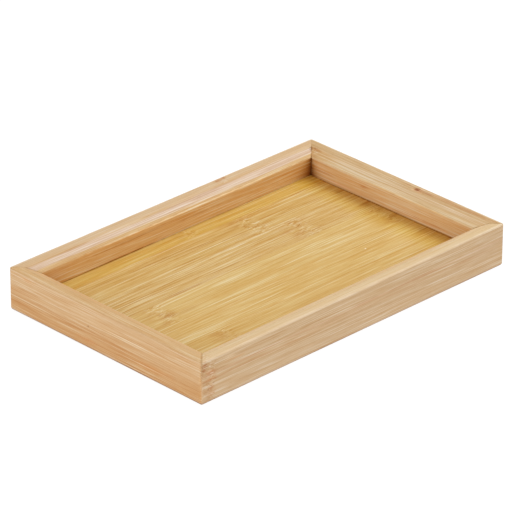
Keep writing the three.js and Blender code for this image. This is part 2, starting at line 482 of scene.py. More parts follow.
def make_lamella(side, is_face, material):
    """One lamella of a rail, moulded, mitred, eased by hand and slotted for its splines."""
    length, across, turn = SIDES[side]
    name = f"{side}_rail_{'outer' if is_face else 'inner'}"
    outline = lamella_outline(is_face)
    normals = outline_normals(outline)
    placing = Matrix.Rotation(turn, 3, "Z")
    wave_length, wave_width = RAIL_WAVE
    groove_top = PANEL_TOP + GROOVE_CLEARANCE
    rows = []
    edges = []
    seams = []
    for end, reach, share in rail_stations(length):
        row = []
        row_edges = []
        row_seams = []
        place = length * (share - 0.5)
        ease = max(0.0, MITRE_EDGE_EASE - reach) if end else 0.0
        for point, normal in zip(outline, normals):
            wave_height = point.y / wave_width + turn * RAIL_WAVE_STEP
            waver = half_noise(place / wave_length, point.x / wave_width, wave_height)
            shift = normal * (ease + SANDING_WAVER * waver)
            on_glue_face = abs(point.x - RAIL_THICKNESS / 2) < GLUE_FACE_REACH
            depth = point.x if on_glue_face else point.x - shift.x
            height = point.y - shift.y
            on_groove_lip = abs(point.y - groove_top) < GROOVE_LIP_REACH
            if on_groove_lip and depth > RAIL_THICKNESS - GROOVE_DEPTH / 2:
                height += groove_gap(side, place) - GROOVE_CLEARANCE
            mitre = mitre_place(depth) + MITRE_SETBACK
            low = mitre + reach - length / 2
            high = length / 2 - mitre - reach
            along = {-1: low, 0: low + (high - low) * share, 1: high}[end]
            from_corner = length / 2 - abs(along)
            row.append(placing @ Vector((along, curved_depth(depth, from_corner) - across / 2, height)))
            upright = max(0.0, 1 - from_corner / UPRIGHT_EDGE_FADE) if point.x < UPRIGHT_EDGE_DEPTH else 0.0
            row_edges.append(max(edge_closeness(point.x, point.y), upright))
            # Seam layer: dark joint lines, painted shade in the well's corners and a painted notch.
            row_seams.append(max(
                seam_shade(side, rail_end, point.x, point.y, length / 2 - rail_end * along - mitre)
                for rail_end in (-1, 1)
            ))
        rows.append(row)
        edges.append(row_edges)
        seams.append(row_seams)
    lamella = swept_piece(name + "_bamboo", rows, {"edge": edges, "seam": seams})
    for x_end in (-1, 1):
        corner = placing @ Vector((x_end * length / 2, -across / 2, 0))
        slot_solid = spline_bar("slot", corner, SPLINE_CLEARANCE, 0.0)
        cut_from(lamella, slot_solid)
        bpy.data.objects.remove(slot_solid)
    finish_piece(lamella, name, material)


# Splines

def spline_bar(name, corner, clearance, ease):
    """A bar with round ends across the mitre at a corner of the tray, larger all over by a clearance."""
    inset = RAIL_THICKNESS / 2
    x_side = math.copysign(1, corner.x)
    y_side = math.copysign(1, corner.y)
    centre = Vector((corner.x - x_side * inset, corner.y - y_side * inset, RAIL_HEIGHT / 2))
    across = Vector((x_side, -y_side, 0)).normalized()
    inwards = Vector((x_side * y_side * across.y, -x_side * y_side * across.x, 0))
    radius = SPLINE_THICKNESS / 2 + clearance
    straight = SPLINE_HEIGHT / 2 + clearance - radius
    half_width = SPLINE_WIDTH / 2 + clearance
    round_end = [math.pi * step / ARC_STEPS for step in range(ARC_STEPS + 1)]
    outline = [(math.cos(a), math.sin(a), straight) for a in round_end]
    outline += [(-math.cos(a), -math.sin(a), -straight) for a in round_end]
    if x_side * y_side > 0:
        outline.reverse()
    stations = [(-half_width, ease), (half_width, ease)]
    if ease:
        stations[1:1] = [(ease - half_width, 0.0), (half_width - ease, 0.0)]
    rows = []
    for place, shrink in stations:
        size = radius - shrink
        rows.append([
            centre + across * place + inwards * (x * size) + Vector((0, 0, z * size + rise))
            for x, z, rise in outline
        ])
    return swept_piece(name, rows)


def make_splines(material):
    """The loose spline inside each mitre."""
    for y_name, y_side in (("front", -1), ("back", 1)):
        for x_name, x_side in (("left", -1), ("right", 1)):
            node = f"mitre_spline_{y_name}_{x_name}"
            corner = Vector((x_side * TRAY_LENGTH / 2, y_side * TRAY_WIDTH / 2, 0))
            spline = spline_bar(node + "_bamboo", corner, 0.0, SPLINE_EASE)
            finish_piece(spline, node, material)


# Panel

def make_strip(index, node_places, material):
    """One strip of the panel, its long edges eased and its faces faintly dipped at each node."""
    node = f"panel_strip_{index}"
    low, high = node_box(node)
    if index > 1:
        high.y = node_box(f"panel_strip_{index - 1}")[0].y - GLUE_SEAM
    outline = rounded_outline([
        (low.y, low.z, STRIP_EDGE_EASE),
        (high.y, low.z, STRIP_EDGE_EASE),
        (high.y, high.z, STRIP_EDGE_EASE),
        (low.y, high.z, STRIP_EDGE_EASE),
    ])
    outline = divided_outline(outline, SECTION_SPACING)
    count = round((high.x - low.x) / STATION_SPACING)
    wave_length, wave_width = STRIP_WAVE
    rows = []
    for step in range(count + 1):
        along = low.x + (high.x - low.x) * step / count
        row = []
        for point in outline:
            waver = half_noise(along / wave_length, point.x / wave_width, index * STRIP_WAVE_STEP)
            dip = STRIP_SANDING * SANDING_WAVER * waver
            for place in node_places:
                dip += NODE_DIP * SANDING_WAVER * bump_at(along, place, NODE_DIP_REACH)
            height = point.y - dip if point.y > (low.z + high.z) / 2 else point.y + dip
            row.append(Vector((along, point.x, height)))
        rows.append(row)
    strip = swept_piece(node + "_bamboo", rows)
    finish_piece(strip, node, material)


# Shader nodes

def put(tree, kind, inputs=(), **settings):
    """Adds a shader node, sets its options, and links or sets its inputs."""
    made = tree.nodes.new("ShaderNode" + kind)
    for option, value in settings.items():
        setattr(made, option, value)
    for key, value in dict(inputs).items():
        if isinstance(value, bpy.types.NodeSocket):
            tree.links.new(value, made.inputs[key])
        else:
            made.inputs[key].default_value = value
    return made


def calc(tree, operation, *values):
    """The result of a Math node."""
    return put(tree, "Math", dict(enumerate(values)), operation=operation).outputs[0]


def vector_calc(tree, operation, *values):
    """The result of a Vector Math node."""
    return put(tree, "VectorMath", dict(enumerate(values)), operation=operation).outputs[0]


def scaled_vector(tree, vector, scale):
    """A vector or colour times a value."""
    return put(tree, "VectorMath", {0: vector, "Scale": scale}, operation="SCALE").outputs[0]


def ramp(tree, value, start, end, low=0.0, high=1.0):
    """Eases from low to high while a value goes from start to end."""
    inputs = {"Value": value, "From Min": start, "From Max": end, "To Min": low, "To Max": high}
    return put(tree, "MapRange", inputs, interpolation_type="SMOOTHSTEP").outputs[0]


def mixed(tree, share, under, over, mode="MIX"):
    """One colour over another by a share."""
    inputs = {0: share, 6: under, 7: over}
    return put(tree, "Mix", inputs, data_type="RGBA", blend_type=mode).outputs[2]


def grain_noise(tree, grain, length, width, detail=1.0, roughness=0.5):
    """Smooth noise so long along the grain and so wide across it: first as a value, then as a colour."""
    scaled = vector_calc(tree, "MULTIPLY", grain, (1 / length, 1 / width, 1 / width))
    inputs = {"Vector": scaled, "Scale": 1.0, "Detail": detail, "Roughness": roughness}
    return put(tree, "TexNoise", inputs).outputs


def streaks(tree, grain, length, width, start, end, low=0.0, high=1.0, detail=1.0):
    """Streaks along the grain, eased from low to high while their noise goes from start to end."""
    return ramp(tree, grain_noise(tree, grain, length, width, detail)[0], start, end, low, high)


def shader_group(name, inputs, outputs):
    """A new node group with named sockets. Returns its tree, and its sockets as seen from inside."""
    tree = bpy.data.node_groups.new(name, "ShaderNodeTree")
    for label, kind, default in inputs:
        socket = tree.interface.new_socket(name=label, in_out="INPUT", socket_type="NodeSocket" + kind)
        socket.default_value = default
    for label, kind in outputs:
        tree.interface.new_socket(name=label, in_out="OUTPUT", socket_type="NodeSocket" + kind)
    entry = tree.nodes.new("NodeGroupInput")
    way_out = tree.nodes.new("NodeGroupOutput")
    return tree, entry.outputs, way_out.inputs


def join(tree, results, exits):
    """Links a group's results to its outputs by name."""
    for label, socket in results.items():
        tree.links.new(socket, exits[label])


def use_group(tree, group, **values):
    """Places a node group. Names of values have _ for the spaces in the sockets' names."""
    made = tree.nodes.new("ShaderNodeGroup")
    made.node_tree = group
    for label, value in values.items():
        socket = made.inputs[label.replace("_", " ")]
        if isinstance(value, bpy.types.NodeSocket):
            tree.links.new(value, socket)
        else:
            socket.default_value = value
    return made.outputs


def fibre_group():
    """Bamboo's long fibres, as one value from dark to pale.

    Grain is in millimetres, with x along the fibres."""
    tree, given, exits = shader_group(
        "Bamboo Fibres",
        [("Grain", "Vector", (0, 0, 0)), ("Seed", "Float", 0.0), ("Width", "Float", 1.0)],
        [("Value", "Float"), ("Fibre", "Float"), ("Patch", "Float")],
    )
    seed_shift = scaled_vector(tree, FIBRE_SEED_STEP, given["Seed"])
    grain = vector_calc(tree, "ADD", given["Grain"], seed_shift)
    drift = grain_noise(tree, grain, length=120, width=16)[1]
    sway = vector_calc(tree, "SUBTRACT", drift, (0.5, 0.5, 0.5))
    grain = vector_calc(tree, "MULTIPLY_ADD", sway, (0.0, FIBRE_SWAY, FIBRE_SWAY), grain)
    size = put(tree, "CombineXYZ", {0: 1.0, 1: given["Width"], 2: given["Width"]}).outputs[0]
    grain = vector_calc(tree, "DIVIDE", grain, size)
    other_grain = vector_calc(tree, "ADD", grain, OTHER_FIBRES)
    pale_lines = streaks(tree, grain, length=46, width=0.9, start=0.5, end=0.66)
    dark_lines = streaks(tree, other_grain, length=40, width=0.85, start=0.5, end=0.66, high=0.4)
    boldness = streaks(tree, other_grain, length=75, width=7, start=0.36, end=0.64, low=0.42, high=0.72)
    broad = streaks(tree, grain, length=150, width=4.2, start=0.3, end=0.7, low=-0.06, high=0.06)
    fibre = streaks(tree, grain, length=34, width=0.55, start=0.32, end=0.68)
    dashes = streaks(tree, other_grain, length=6, width=0.3, start=0.52, end=0.68, high=-0.2)
    value = calc(tree, "MULTIPLY", calc(tree, "SUBTRACT", pale_lines, dark_lines), boldness)
    value = calc(tree, "ADD", calc(tree, "ADD", value, broad), calc(tree, "ADD", dashes, 0.29))
    value = calc(tree, "MULTIPLY_ADD", fibre, 0.32, value)
    patch = streaks(tree, grain, length=50, width=6, start=0.38, end=0.66, detail=2.0)
    join(tree, {"Value": value, "Fibre": fibre, "Patch": patch}, exits)
    return tree


def node_group():
    """A bamboo node across the fibres: a brown zone with short pale flecks, where the fibres swerve."""
    tree, given, exits = shader_group(
        "Bamboo Node",
        [("Grain", "Vector", (0, 0, 0)), ("At", "Float", 0.0), ("Reach", "Float", 5.0),
         ("Seed", "Float", 0.0)],
        [("Grain", "Vector"), ("Pale Fleck", "Float"), ("Dark Blotch", "Float"), ("Brown Zone", "Float")],
    )
    seed_shift = scaled_vector(tree, NODE_SEED_STEP, given["Seed"])
    grain = vector_calc(tree, "ADD", given["Grain"], seed_shift)
    ragged = grain_noise(tree, grain, length=60, width=2.2, detail=2.0, roughness=0.6)[0]
    ragged = calc(tree, "SUBTRACT", ragged, 0.5)
    x_place = put(tree, "SeparateXYZ", {0: given["Grain"]}).outputs[0]
    offset = calc(tree, "SUBTRACT", x_place, given["At"])
    offset = calc(tree, "MULTIPLY_ADD", ragged, NODE_RAGGEDNESS, offset)
    offset = calc(tree, "DIVIDE", offset, given["Reach"])
    near = ramp(tree, calc(tree, "ABSOLUTE", offset), start=1.0, end=0.1)
    zone = ramp(tree, calc(tree, "ABSOLUTE", calc(tree, "ADD", offset, 0.5)), start=2.0, end=0.0)
    smoky = streaks(tree, grain, length=9.0, width=2.6, start=0.32, end=0.66, detail=2.0)
    eddy = grain_noise(tree, grain, length=4.5, width=3.0)[1]
    swerve = scaled_vector(tree, vector_calc(tree, "SUBTRACT", eddy, (0.5, 0.5, 0.5)), near)
    swerved = vector_calc(tree, "MULTIPLY_ADD", swerve, (0.0, FLECK_SWERVE, FLECK_SWERVE), grain)
    flecks = streaks(tree, swerved, length=3.4, width=0.55, start=0.5, end=0.64)
    blotches = streaks(tree, grain, length=4.2, width=1.4, start=0.44, end=0.68, detail=2.0)
    fibre_swerve = (0.0, FIBRE_SWERVE, FIBRE_SWERVE)
    join(tree, {
        "Grain": vector_calc(tree, "MULTIPLY_ADD", swerve, fibre_swerve, given["Grain"]),
        "Pale Fleck": calc(tree, "MULTIPLY", flecks, near),
        "Dark Blotch": calc(tree, "MULTIPLY", blotches, near),
        "Brown Zone": calc(tree, "MULTIPLY", smoky, zone),
    }, exits)
    return tree


def colour_group():
    """Bamboo's colour: a tone that light crosses more or less of, by the fibres' value and the nodes' marks.

    A deeper fibre takes out most of the colour that its tone already holds back."""
    tree, given, exits = shader_group(
        "Bamboo Colour",
        [("Tone", "Color", (0.6, 0.4, 0.2, 1)), ("Value", "Float", 0.5), ("Contrast", "Float", 1.0),
         ("Patch", "Float", 0.0), ("Pale Fleck", "Float", 0.0), ("Dark Blotch", "Float", 0.0),
         ("Brown Zone", "Float", 0.0)],
        [("Colour", "Color")],
    )
    value = calc(tree, "MULTIPLY", calc(tree, "SUBTRACT", given["Value"], 0.5), given["Contrast"])
    marks = calc(tree, "SUBTRACT", given["Pale Fleck"], calc(tree, "MULTIPLY", given["Dark Blotch"], 0.5))
    value = calc(tree, "MULTIPLY_ADD", marks, 0.52, value)
    crossing = calc(tree, "POWER", FIBRE_DEPTH, calc(tree, "MULTIPLY", value, -2.0))
    colour = put(tree, "Gamma", {0: given["Tone"], 1: crossing}).outputs[0]
    colour = scaled_vector(tree, colour, calc(tree, "MULTIPLY_ADD", value, -0.1, 1.0))
    warmed = calc(tree, "MULTIPLY", given["Patch"], PATCH_WARMTH)
    colour = mixed(tree, warmed, colour, WARM_FILTER, "MULTIPLY")
    browned = calc(tree, "MULTIPLY", given["Brown Zone"], NODE_BROWNNESS)
    colour = mixed(tree, browned, colour, NODE_FILTER, "MULTIPLY")
    join(tree, {"Colour": colour}, exits)
    return tree


def band_group():
    """A soft band along the grain, where a place across it is near a centre. Its edges waver."""
    tree, given, exits = shader_group(
        "Tone Band",
        [("Grain", "Vector", (0, 0, 0)), ("Place", "Float", 0.0), ("Centre", "Float", 0.0),
         ("Half Width", "Float", 1.0), ("Softness", "Float", 0.5), ("Waver", "Float", 0.3)],
        [("Mask", "Float")],
    )
    wander = grain_noise(tree, given["Grain"], length=34, width=1.6, detail=2.0)[0]
    widest = calc(tree, "MULTIPLY", given["Waver"], 4.0)
    sway = calc(tree, "MULTIPLY", calc(tree, "SUBTRACT", wander, 0.5), widest)
    offset = calc(tree, "SUBTRACT", given["Place"], given["Centre"])
    offset = calc(tree, "ABSOLUTE", calc(tree, "ADD", offset, sway))
    outer = calc(tree, "ADD", given["Half Width"], given["Softness"])
    inner = calc(tree, "SUBTRACT", given["Half Width"], given["Softness"])
    join(tree, {"Mask": ramp(tree, offset, outer, inner)}, exits)
    return tree


def fleck_group():
    """One mark at a place on the surface, drawn out along the grain, with ragged soft edges."""
    tree, given, exits = shader_group(
        "Fleck",
        [("Grain", "Vector", (0, 0, 0)), ("At", "Vector", (0, 0, 0)), ("Length", "Float", 1.0),
         ("Width", "Float", 0.5)],
        [("Mask", "Float")],
    )
    size = put(tree, "CombineXYZ", {0: given["Length"], 1: given["Width"], 2: given["Width"]}).outputs[0]
    offset = vector_calc(tree, "DIVIDE", vector_calc(tree, "SUBTRACT", given["Grain"], given["At"]), size)
    distance = put(tree, "VectorMath", {0: offset}, operation="LENGTH").outputs["Value"]
    ragged = grain_noise(tree, given["Grain"], length=6, width=0.8, detail=2.0)[0]
    ragged = calc(tree, "SUBTRACT", ragged, 0.5)
    distance = calc(tree, "MULTIPLY_ADD", ragged, FLECK_RAGGEDNESS, distance)
    join(tree, {"Mask": ramp(tree, distance, start=1.0, end=0.2)}, exits)
    return tree


def edge_wear_and_highlight_group():
    """Where an edge is worn pale, with a painted highlight over it: all along it, in uneven lengths."""
    tree, given, exits = shader_group(
        "Edge Wear and Highlight",
        [("Edge", "Float", 0.0), ("Grain", "Vector", (0, 0, 0)), ("Amount", "Float", 0.5)],
        [("Mask", "Float")],
    )
    uneven = streaks(tree, given["Grain"], length=16, width=2.5, start=0.3, end=0.65, low=0.3, detail=3.0)
    on_edge = ramp(tree, given["Edge"], start=0.25, end=0.95)
    edge_wear_and_highlight_amount = calc(tree, "MULTIPLY", on_edge, uneven)
    join(tree, {"Mask": calc(tree, "MULTIPLY", edge_wear_and_highlight_amount, given["Amount"])}, exits)
    return tree


def joint_shade_group():
    """Darkens a colour for dark joints and painted shade: light crosses more of it, less of it comes back."""
    tree, given, exits = shader_group(
        "Joint Shade",
        [("Colour", "Color", (0.6, 0.4, 0.2, 1)), ("Shade", "Float", 0.0)],
        [("Colour", "Color")],
    )
    crossing = calc(tree, "MULTIPLY_ADD", given["Shade"], JOINT_AND_SHADE_DEPTH, 1.0)
    colour = put(tree, "Gamma", {0: given["Colour"], 1: crossing}).outputs[0]
    colour = scaled_vector(tree, colour, calc(tree, "MULTIPLY_ADD", given["Shade"], -JOINT_AND_SHADE_LOSS, 1.0))
    join(tree, {"Colour": colour}, exits)
    return tree


def lacquer_group():
    """Thin satin lacquer over the fibres: its gloss, its coat and the height that feeds a bump."""
    tree, given, exits = shader_group(
        "Lacquer",
        [("Grain", "Vector", (0, 0, 0)), ("Value", "Float", 0.5), ("Fibre", "Float", 0.5),
         ("Worn", "Float", 0.0), ("Seam", "Float", 0.0), ("Roughness", "Float", 0.5)],
        [("Roughness", "Float"), ("Coat", "Float"), ("Height", "Float")],
    )
    film = grain_noise(tree, given["Grain"], length=14, width=5, detail=2.0)[0]
    pores = calc(tree, "MULTIPLY", calc(tree, "SUBTRACT", 0.5, given["Fibre"]), 0.14)
    uneven = calc(tree, "MULTIPLY", calc(tree, "SUBTRACT", film, 0.5), 0.2)
    roughness = calc(tree, "ADD", calc(tree, "ADD", given["Roughness"], pores), uneven)
    roughness = calc(tree, "MULTIPLY_ADD", given["Worn"], 0.12, roughness)
    roughness = calc(tree, "MULTIPLY_ADD", given["Seam"], 0.4, roughness)
    bare = calc(tree, "MAXIMUM", given["Worn"], given["Seam"])
    coat = calc(tree, "MULTIPLY_ADD", film, 0.24, 0.2)
    coat = calc(tree, "MULTIPLY", coat, calc(tree, "SUBTRACT", 1.0, bare))
    height = calc(tree, "MULTIPLY_ADD", given["Value"], 0.6, calc(tree, "MULTIPLY", given["Fibre"], 0.4))
    height = calc(tree, "MULTIPLY_ADD", film, 0.3, height)
    join(tree, {"Roughness": roughness, "Coat": coat, "Height": height}, exits)
    return tree


# A seed moves the noise by these steps, and the darker fibres come from another part of it.
FIBRE_SEED_STEP = (171.0, 59.0, 117.0)
NODE_SEED_STEP = (31.0, 77.0, 53.0)
NODE_SEED_SPACING = 7
OTHER_FIBRES = (37.0, 41.0, 93.0)
# How far, in millimetres, fibres sway along a piece, fibres and flecks swerve at a node, and a node's line is
# ragged. A fleck is ragged by a share of its size.
FIBRE_SWAY = 2.0
FIBRE_SWERVE = 1.8
FLECK_SWERVE = 2.4
NODE_RAGGEDNESS = 12.0
FLECK_RAGGEDNESS = 1.2
# How strongly the darkest fibres hold back light, and what warm patches, nodes, dark joints and painted
# shade do to a tone.
FIBRE_DEPTH = 1.6
PATCH_WARMTH = 0.3
WARM_FILTER = (0.97, 0.86, 0.70, 1)
NODE_BROWNNESS = 0.5
NODE_FILTER = (0.82, 0.62, 0.42, 1)
JOINT_AND_SHADE_DEPTH = 1.4
JOINT_AND_SHADE_LOSS = 0.75
# The lacquer's fixed values: its gloss, what the bamboo under it reflects, and how deep its grain is.
COAT_ROUGHNESS = 0.4
BARE_SPECULAR = 0.05
GRAIN_STRENGTH = 0.1
GRAIN_RELIEF = 0.1 * MM
GROUPS = {
    "fibres": fibre_group(),
    "node": node_group(),
    "colour": colour_group(),
    "band": band_group(),
    "fleck": fleck_group(),
    "edge_wear_and_highlight": edge_wear_and_highlight_group(),
    "joint_shade": joint_shade_group(),
    "lacquer": lacquer_group(),
}

# A band of another tone along a piece: at a height, at a depth in from a rail's outer face, or at a place
# across or along its grain.
Band = namedtuple("Band", "axis centre half_width softness waver strength colour")
# A mark on a piece: where it is on the tray, half its length and half its width, how strongly it shows, and
# its colour.
Fleck = namedtuple("Fleck", "place length width strength colour")


def bamboo_material(name, middle, seed, turn=0.0, nodes=(), bands=(), flecks=(), calm=(), shade_tints=(),
                    shades=(), gloss=(), contrast=1.0, width=1.0, roughness=0.5, edge_wear_and_highlight_amount=0.4):
    """A lacquered bamboo finish for one piece, around a middle tone.

    turn is the way the grain runs, about the upright axis. nodes are places along the grain with their reach.
    The fibres show less at calm marks, marks of tinted painted shade multiply in their tint, shades darken
    the colour as dark joints and painted shade do, and the lacquer shines more at gloss ones."""
    material = bpy.data.materials.new(name)
    material.use_nodes = True
    tree = material.node_tree
    shader = tree.nodes["Principled BSDF"]
    straight = put(tree, "Mapping", {
        "Vector": put(tree, "TexCoord").outputs["Object"],
        "Rotation": (0.0, 0.0, -turn),
        "Scale": (1 / MM, 1 / MM, 1 / MM),
    }).outputs[0]
    along, across, height = put(tree, "SeparateXYZ", {0: straight}).outputs
    places = {"along": along, "across": across, "height": height}

    def mask_of(mark):
        """How strongly a band or a fleck shows over the surface."""
        if isinstance(mark, Band):
            found = use_group(
                tree, GROUPS["band"], Grain=straight, Place=places[mark.axis], Centre=mark.centre,
                Half_Width=mark.half_width, Softness=mark.softness, Waver=mark.waver,
            )
        else:
            found = use_group(
                tree, GROUPS["fleck"], Grain=straight, At=Matrix.Rotation(-turn, 3, "Z") @ Vector(mark.place),
                Length=mark.length, Width=mark.width,
            )
        return calc(tree, "MULTIPLY", found["Mask"], mark.strength)

    def strongest(found, least):
        """The strongest of some marks and a least value, over the surface."""
        for mark in found:
            least = calc(tree, "MAXIMUM", mask_of(mark), least)
        return least

    base = middle
    for mark in (*bands, *flecks):
        base = mixed(tree, mask_of(mark), base, mark.colour)
    if calm:
        contrast = calc(tree, "MULTIPLY", calc(tree, "SUBTRACT", 1.0, strongest(calm, 0.0)), contrast)
    grain = straight
    marks = {}
    for place, reach in nodes:
        node_seed = seed + place / NODE_SEED_SPACING
        found = use_group(tree, GROUPS["node"], Grain=grain, At=place, Reach=reach, Seed=node_seed)
        grain = found["Grain"]
        for label in ("Pale Fleck", "Dark Blotch", "Brown Zone"):
            key = label.replace(" ", "_")
            marks[key] = calc(tree, "MAXIMUM", marks[key], found[label]) if key in marks else found[label]
    fibres = use_group(tree, GROUPS["fibres"], Grain=grain, Seed=seed, Width=width)
    colour = use_group(
        tree, GROUPS["colour"], Tone=base, Value=fibres["Value"], Contrast=contrast, Patch=fibres["Patch"],
        **marks,
    )["Colour"]
    nearness = put(tree, "Attribute", attribute_name="edge").outputs["Fac"]
    worn_and_lit = use_group(tree, GROUPS["edge_wear_and_highlight"], Edge=nearness, Grain=straight, Amount=edge_wear_and_highlight_amount)["Mask"]
    colour = mixed(tree, worn_and_lit, colour, EDGE_WEAR_AND_HIGHLIGHT_TONE)
    # Dark joint lines from the mesh, with painted shade in corners, along walls' feet and by the right wall.
    seam = strongest(shades, put(tree, "Attribute", attribute_name="seam").outputs["Fac"])
    # Painted shade by the right wall, tinted warm.
    for mark in shade_tints:
        colour = mixed(tree, mask_of(mark), colour, mark.colour, "MULTIPLY")
    colour = use_group(tree, GROUPS["joint_shade"], Colour=colour, Shade=seam)["Colour"]
    film = use_group(
        tree, GROUPS["lacquer"], Grain=straight, Value=fibres["Value"], Fibre=fibres["Fibre"],
        Worn=worn_and_lit, Seam=seam, Roughness=roughness,
    )
    coat = film["Coat"]
    for mark in gloss:
        coat = calc(tree, "ADD", coat, mask_of(mark))
    relief = {"Strength": GRAIN_STRENGTH, "Distance": GRAIN_RELIEF, "Height": film["Height"]}
    bump = put(tree, "Bump", relief).outputs[0]
    tree.links.new(colour, shader.inputs["Base Color"])
    tree.links.new(film["Roughness"], shader.inputs["Roughness"])
    tree.links.new(coat, shader.inputs["Coat Weight"])
    tree.links.new(bump, shader.inputs["Normal"])
    shader.inputs["Coat Roughness"].default_value = COAT_ROUGHNESS
    shader.inputs["Specular IOR Level"].default_value = BARE_SPECULAR
    return material


# Finishes

# Pale edges: wear, and a painted highlight over it.
EDGE_WEAR_AND_HIGHLIGHT_TONE = tone(232, 211, 186)
SPLINE_TONE = tone(204, 166, 114)
PALE_MARK = tone(240, 214, 172)
ORANGE_MARK = tone(206, 146, 92)
DARK_MARK = tone(140, 88, 52)

# The faces turn greyer and darker where they curve under at the foot.
FOOT_SHADOW = Band("height", 0.8, 0.65, 0.55, 0.1, 0.75, tone(164, 130, 108))
LEFT_FOOT_SHADOW = FOOT_SHADOW._replace(half_width=0.8, colour=tone(140, 106, 86))

